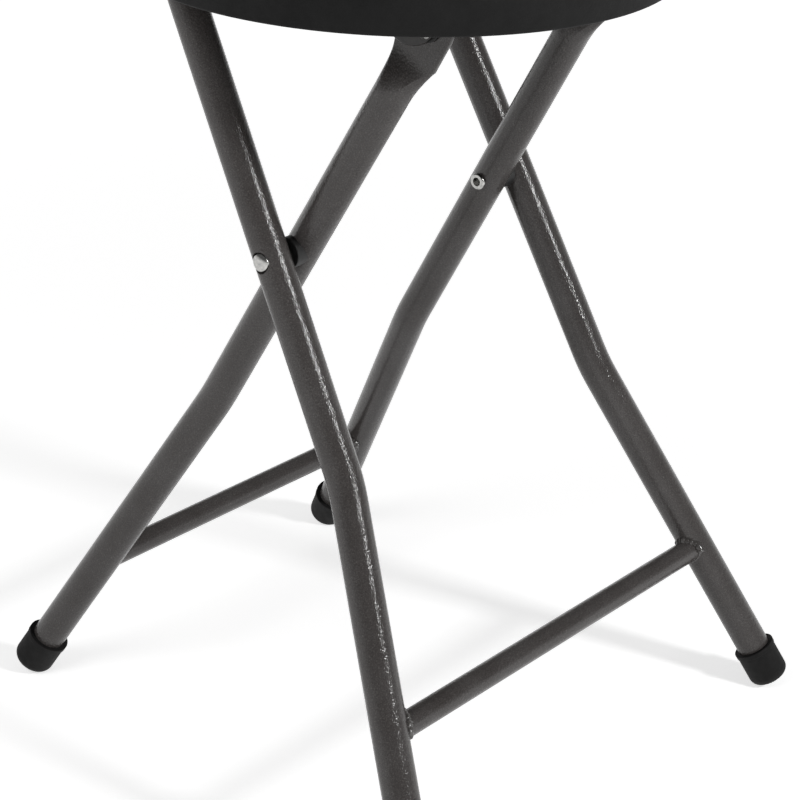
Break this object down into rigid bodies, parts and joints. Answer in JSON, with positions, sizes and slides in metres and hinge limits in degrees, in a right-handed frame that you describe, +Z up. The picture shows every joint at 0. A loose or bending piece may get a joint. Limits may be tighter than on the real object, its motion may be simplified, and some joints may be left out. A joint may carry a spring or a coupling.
{
  "type": "folding stool",
  "caption": "Folding stool with a round moulded seat on two crossed bent-tube frames that scissor flat, with rubber feet.",
  "frame": {"origin": "on the floor, below the middle of the four feet", "axes": "+Z up; X across the stool, along the pivot and hinge axes; the outer frame's feet at -Y"},
  "size_m": [0.354, 0.3606, 0.4846],
  "materials": {
    "frame_paint": "dark grey hammered powder coat",
    "bracket_paint": "black satin paint",
    "seat_plastic": "black moulded, fine matt texture",
    "black_plastic": "black moulded, smooth",
    "foot_rubber": "black, satin",
    "plated_steel": "bright zinc plate"
  },
  "bodies": {
    "inner_frame": {"inner_crossbar": "frame_paint", "inner_crossbar_welds": "frame_paint", "inner_left_leg": "frame_paint", "inner_left_foot": "foot_rubber", "left_pivot_spacer": "black_plastic", "inner_right_leg": "frame_paint", "inner_right_foot": "foot_rubber", "right_pivot_spacer": "black_plastic"},
    "outer_frame": {"outer_crossbar": "frame_paint", "outer_crossbar_welds": "frame_paint", "outer_top_bar": "frame_paint", "outer_top_bar_welds": "frame_paint", "outer_left_leg": "frame_paint", "outer_left_foot": "foot_rubber", "outer_left_top_plug": "black_plastic", "left_pivot_rivet": "plated_steel", "outer_right_leg": "frame_paint", "outer_right_foot": "foot_rubber", "outer_right_top_plug": "black_plastic", "right_pivot_rivet": "plated_steel"},
    "seat": {"seat_shell": "seat_plastic", "hinge_bracket_screws": "plated_steel", "bar_rest_screws": "plated_steel", "left_hinge_bracket": "bracket_paint", "left_hinge_rivet": "plated_steel", "left_hinge_washer": "black_plastic", "left_bar_rest": "black_plastic", "right_hinge_bracket": "bracket_paint", "right_hinge_rivet": "plated_steel", "right_hinge_washer": "black_plastic", "right_bar_rest": "black_plastic"}
  },
  "joints": [
    {"name": "scissor_pivot", "type": "hinge", "parent": "inner_frame", "child": "outer_frame", "pos_m": [0, 0, 0.3085], "axis": [1, 0, 0], "range_deg": [0, 51.5]},
    {"name": "seat_hinge", "type": "hinge", "parent": "inner_frame", "child": "seat", "pos_m": [0, -0.07609, 0.44354], "axis": [1, 0, 0], "range_deg": [0, 103]}
  ],
  "couplings": [
    {"joint": "seat_hinge", "follows": "scissor_pivot", "ratio": 2}
  ]
}
